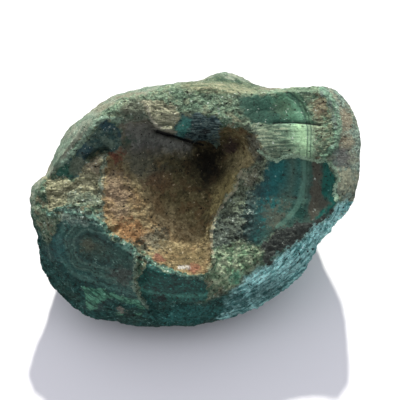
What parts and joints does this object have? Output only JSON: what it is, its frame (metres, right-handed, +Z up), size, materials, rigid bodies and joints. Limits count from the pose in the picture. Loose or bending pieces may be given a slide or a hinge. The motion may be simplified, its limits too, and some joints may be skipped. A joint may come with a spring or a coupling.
{
  "type": "malachite specimen",
  "caption": "Broken nodule of banded green malachite with an open, ochre-lined vug in its tipped upper face and a flat broken underside to rest on.",
  "frame": {"origin": "middle of the bounding box, on the flat underside that the stone rests on", "axes": "+Z up from the rest face, +X along the stone's longest side towards its thick broken end, +Y to the back, away from the side that the open face is tipped towards"},
  "size_m": [0.0804, 0.059, 0.0447],
  "materials": {
    "malachite": "matte"
  },
  "bodies": {
    "root": {"malachite_stone": "malachite"}
  },
  "joints": []
}
